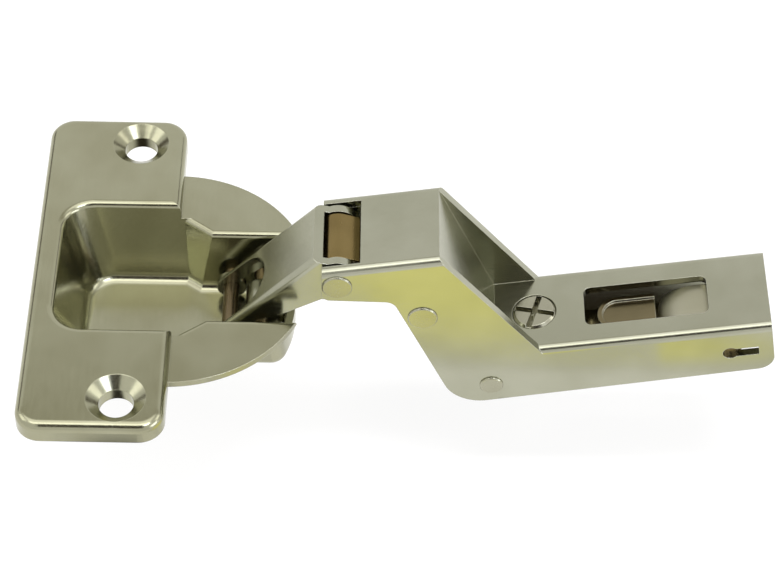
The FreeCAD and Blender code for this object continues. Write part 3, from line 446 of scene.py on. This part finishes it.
@dataclass
class Studio:
    """Pale floor, soft light and the camera at the photograph's angle.

    Attributes:
        camera_mm: Place of the camera.
        azimuth_deg: Turn of the camera to the right.
        elevation_deg: Angle by which the camera looks down.
        roll_deg: Tilt of the camera about its own axis.
        lens_mm: Focal length.
        sensor_mm: Width of the sensor.
        clip_m: Nearest and farthest distance that the camera sees.
        aim_mm: Middle of the hinge, which lamps and standing cards face.
        floor_half_mm: Half of the floor's width.
        floor_tone: Colour of the floor where light falls on it.
        floor_glow: Share of the floor that is seen as plain white, whatever falls on it.
        swing_drop_mm: Depth of the arm's swing below the hinge at rest.
        patch_gap_mm: Gap between the hinge at rest and the patches under it.
        room_tone: Colour of the room's light.
        room_strength: Strength of the room's light.
    """

    camera_mm: tuple[float, float, float] = (26.55, -231.77, 262.06)
    azimuth_deg: float = 1.07
    elevation_deg: float = 48.70
    roll_deg: float = 1.84
    lens_mm: float = 113.77
    sensor_mm: float = 36.0
    clip_m: tuple[float, float] = (0.01, 20.0)
    aim_mm: tuple[float, float, float] = (30.0, 0.0, 0.0)
    floor_half_mm: float = 1500.0
    floor_tone: str = "#F2F1EE"
    floor_glow: float = 0.88
    swing_drop_mm: float = 17.0
    patch_gap_mm: float = 0.02
    room_tone: str = "#F4F3F0"
    room_strength: float = 0.6

    def seen(self, tree: bpy.types.NodeTree) -> bpy.types.NodeSocket:
        """Tell the rays that show a surface from those that only carry its light.

        Args:
            tree: Node tree of the floor or the world.

        Returns:
            One for rays from the camera and from shiny or clear surfaces, and nought for the others.
        """
        path = add_node(tree, "ShaderNodeLightPath").outputs
        straight = add_node(tree, "ShaderNodeMath", {
            0: path["Is Camera Ray"], 1: path["Is Glossy Ray"]}, operation="MAXIMUM")
        seen = add_node(tree, "ShaderNodeMath", {
            0: straight.outputs[0], 1: path["Is Transmission Ray"]}, operation="MAXIMUM")
        return seen.outputs[0]

    def floor(self) -> None:
        """Lay a pale floor under the lowest point that the arm swings to.

        Rays from the camera and from the metal see plain white paper, with an eighth of it left to the
        shadows.
        """
        low = CAD_BOX[0][2] - self.swing_drop_mm * MM
        half = self.floor_half_mm * MM
        corners = [(-half, -half, low), (half, -half, low), (half, half, low), (-half, half, low)]
        mesh = bpy.data.meshes.new("floor")
        mesh.from_pydata(corners, [], [(0, 1, 2, 3)])
        floor = bpy.data.objects.new("floor", mesh)
        bpy.context.scene.collection.objects.link(floor)
        paper = blank_material("white_paper")
        tree = paper.node_tree
        share = add_node(tree, "ShaderNodeMath", {
            0: self.seen(tree), 1: self.floor_glow}, operation="MULTIPLY")
        matt = add_node(tree, "ShaderNodeBsdfDiffuse", {"Color": linear(self.floor_tone)})
        glow = add_node(tree, "ShaderNodeEmission", {"Color": linear(WHITE), "Strength": 1.0})
        mix = add_node(tree, "ShaderNodeMixShader", {
            0: share.outputs[0], 1: matt.outputs[0], 2: glow.outputs[0]})
        add_node(tree, "ShaderNodeOutputMaterial", {"Surface": mix.outputs[0]})
        mesh.materials.append(paper)

    def world(self) -> None:
        """Fill the room with soft white light."""
        world = bpy.data.worlds.new("soft_room")
        world.use_nodes = True
        tree = world.node_tree
        tree.nodes.clear()
        room = add_node(tree, "ShaderNodeBackground", {
            "Color": linear(self.room_tone), "Strength": self.room_strength})
        white = add_node(tree, "ShaderNodeBackground", {"Color": linear(WHITE), "Strength": 1.0})
        mix = add_node(tree, "ShaderNodeMixShader", {
            0: self.seen(tree), 1: room.outputs[0], 2: white.outputs[0]})
        add_node(tree, "ShaderNodeOutputWorld", {"Surface": mix.outputs[0]})
        bpy.context.scene.world = world

    def lamp(self, name: str, at_mm: tuple[float, float, float], size_mm: tuple[float, float],
             watts: float) -> None:
        """Hang a softbox that faces the hinge.

        Args:
            name: Name of the lamp.
            at_mm: Where it hangs.
            size_mm: Width and height of its face.
            watts: Power.
        """
        light = bpy.data.lights.new(name, "AREA")
        light.shape = "RECTANGLE"
        light.size, light.size_y = size_mm[0] * MM, size_mm[1] * MM
        light.energy = watts
        lamp = bpy.data.objects.new(name, light)
        lamp.location = Vector(at_mm) * MM
        lamp.rotation_euler = (Vector(self.aim_mm) - Vector(at_mm)).to_track_quat("-Z", "Y").to_euler()
        lamp.visible_glossy = False
        bpy.context.scene.collection.objects.link(lamp)

    def camera(self) -> None:
        """Stand the camera at the photograph's place, turned by its azimuth, elevation and roll."""
        lens = bpy.data.cameras.new("photo_camera")
        lens.lens = self.lens_mm
        lens.sensor_width = self.sensor_mm
        lens.clip_start, lens.clip_end = self.clip_m
        camera = bpy.data.objects.new("photo_camera", lens)
        turn = Matrix.Rotation(math.radians(-self.azimuth_deg), 4, "Z")
        tilt = Matrix.Rotation(math.radians(90.0 - self.elevation_deg), 4, "X")
        roll = Matrix.Rotation(math.radians(self.roll_deg), 4, "Z")
        camera.matrix_world = Matrix.Translation(Vector(self.camera_mm) * MM) @ turn @ tilt @ roll
        bpy.context.scene.collection.objects.link(camera)
        bpy.context.scene.camera = camera

    def hang(self, name: str, at_mm: tuple[float, float, float], size_mm: tuple[float, float],
             strength: float) -> None:
        """Hang a level white card over the hinge.

        Args:
            name: Name of the card.
            at_mm: Middle of the card.
            size_mm: Width and depth.
            strength: Brightness of the paper.
        """
        Card(name, at_mm, (at_mm[0], at_mm[1], 0.0), size_mm, strength=strength).build()

    def stand(self, name: str, at_mm: tuple[float, float, float], size_mm: tuple[float, float],
              tone: str = WHITE, strength: float = 1.0) -> None:
        """Stand a card in the room, turned to the hinge.

        Args:
            name: Name of the card.
            at_mm: Middle of the card.
            size_mm: Width and height.
            tone: Colour of the paper.
            strength: Brightness of the paper.
        """
        Card(name, at_mm, self.aim_mm, size_mm, tone, strength).build()

    def lay(self, name: str, at_mm: tuple[float, float], size_mm: tuple[float, float], tone: str,
            soft: float, strength: float = 1.0) -> None:
        """Lay a soft patch just under the hinge.

        Args:
            name: Name of the patch.
            at_mm: Middle of the patch, seen from above.
            size_mm: Width and depth.
            tone: Colour of the patch.
            soft: Share of the way to the rim over which it fades.
            strength: Brightness of the patch.
        """
        under = CAD_BOX[0][2] / MM - self.patch_gap_mm
        Card(name, (*at_mm, under), (*at_mm, 0.0), size_mm, tone, strength, soft).build()

    def cards(self) -> None:
        """Put up all that the metal mirrors besides the white room."""
        # The ceiling lights the flats, and its brighter front gives the white line on each rolled edge.
        self.hang("ceiling", (-35.0, 75.0, 520.0), (590.0, 270.0), 1.9)
        self.hang("ceiling_front", (-35.0, -150.0, 520.0), (590.0, 180.0), 3.2)
        self.stand("grey_back", (30.0, 325.0, 500.0), (1100.0, 120.0), "#C8C6BA")
        # The windows and lamps light the screw sinks, the pocket's corners and the neck of the cup.
        self.stand("left_window", (-365.0, 0.0, 275.0), (190.0, 190.0), strength=2.4)
        self.stand("right_window", (420.0, 50.0, 275.0), (190.0, 190.0), strength=2.4)
        self.stand("low_lamp", (553.0, -255.0, 150.0), (320.0, 220.0), "#EEF2FF", 4.5)
        self.stand("high_lamp", (249.0, -243.0, 503.0), (200.0, 150.0), "#E6ECFF", 9.0)
        # The dark cards give the bands in the sinks and the dark lines beside the white ones.
        self.stand("dark_front", (30.0, -400.0, 446.0), (340.0, 370.0), "#40382F")
        self.stand("dark_right", (420.0, 300.0, 165.0), (260.0, 80.0), "#574D40")
        self.stand("dark_left", (-370.0, 320.0, 140.0), (260.0, 100.0), "#574D40")
        # The warm patches colour the near walls of the arm and the link.
        self.lay("warm_floor", (42.0, -35.0), (58.0, 40.0), "#FFFBA8", 0.4, 1.35)
        self.lay("warm_tail", (58.0, -18.5), (96.0, 10.0), "#FFFB9C", 0.7, 1.3)
        self.lay("warm_link", (20.0, -22.5), (17.0, 15.0), "#FFFBA8", 0.6, 1.4)
        # The shades darken the flange's lower rim, the cup's shell and the arm's window.
        self.lay("flange_shade", (-7.5, -31.0), (19.0, 28.0), "#2A241A", 0.35)
        self.lay("cup_shade", (-7.0, 8.0), (44.0, 46.0), "#3A3428", 0.7)
        self.lay("arm_shade", (66.0, 1.0), (38.0, 18.0), "#2A241A", 0.4)

    def build(self) -> None:
        """Set up the whole studio."""
        bpy.context.scene.view_settings.view_transform = "Standard"
        self.floor()
        self.world()
        self.camera()
        self.lamp("top_softbox", (30.0, -60.0, 520.0), (360.0, 110.0), 5.0)
        self.lamp("left_softbox", (-480.0, -60.0, 250.0), (160.0, 120.0), 3.0)
        self.lamp("right_softbox", (520.0, -60.0, 250.0), (160.0, 120.0), 2.0)
        self.cards()


def main() -> None:
    """Build the studio and dress each group of pieces in order."""
    logging.basicConfig(level=logging.INFO, format="%(message)s")
    Studio().build()
    CupGroup().dress()
    ArmGroup().dress()


if __name__ == "__main__":
    main()
